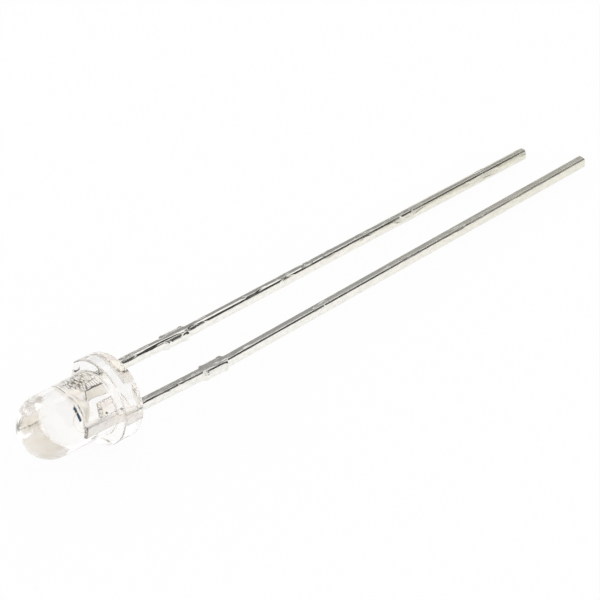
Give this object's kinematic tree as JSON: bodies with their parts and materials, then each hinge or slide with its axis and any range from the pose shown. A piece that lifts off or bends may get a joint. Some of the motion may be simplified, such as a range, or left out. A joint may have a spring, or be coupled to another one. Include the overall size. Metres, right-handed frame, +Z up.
{
  "type": "through-hole led",
  "caption": "Water-clear 3 mm round through-hole LED with a flanged lens, a flat on the cathode side, a reflector-cup lead frame and long square leads with stops.",
  "frame": {"origin": "centre of the flange's seating face, where the leads come out", "axes": "+X along the leads, from the dome to the tips, +Z up as it lies on a surface, +Y to the cathode's side. The lens's axis slopes 5.59 degrees and the leads 3.09 degrees down to the surface."},
  "size_m": [0.0338, 0.0036, 0.0041],
  "materials": {
    "clear_epoxy": "water-clear, glossy",
    "cathode_tin": "bright tin over steel strip, silver plated inside the lens",
    "anode_tin": "bright tin over steel strip, silver plated inside the lens",
    "chip": "polished semiconductor",
    "silver_adhesive": "matte, silver filled",
    "gold_wire": "polished gold"
  },
  "bodies": {
    "root": {"lens": "clear_epoxy", "cathode_lead": "cathode_tin", "anode_lead": "anode_tin", "led_chip": "chip", "chip_adhesive": "silver_adhesive", "bond_wire": "gold_wire"}
  },
  "joints": []
}
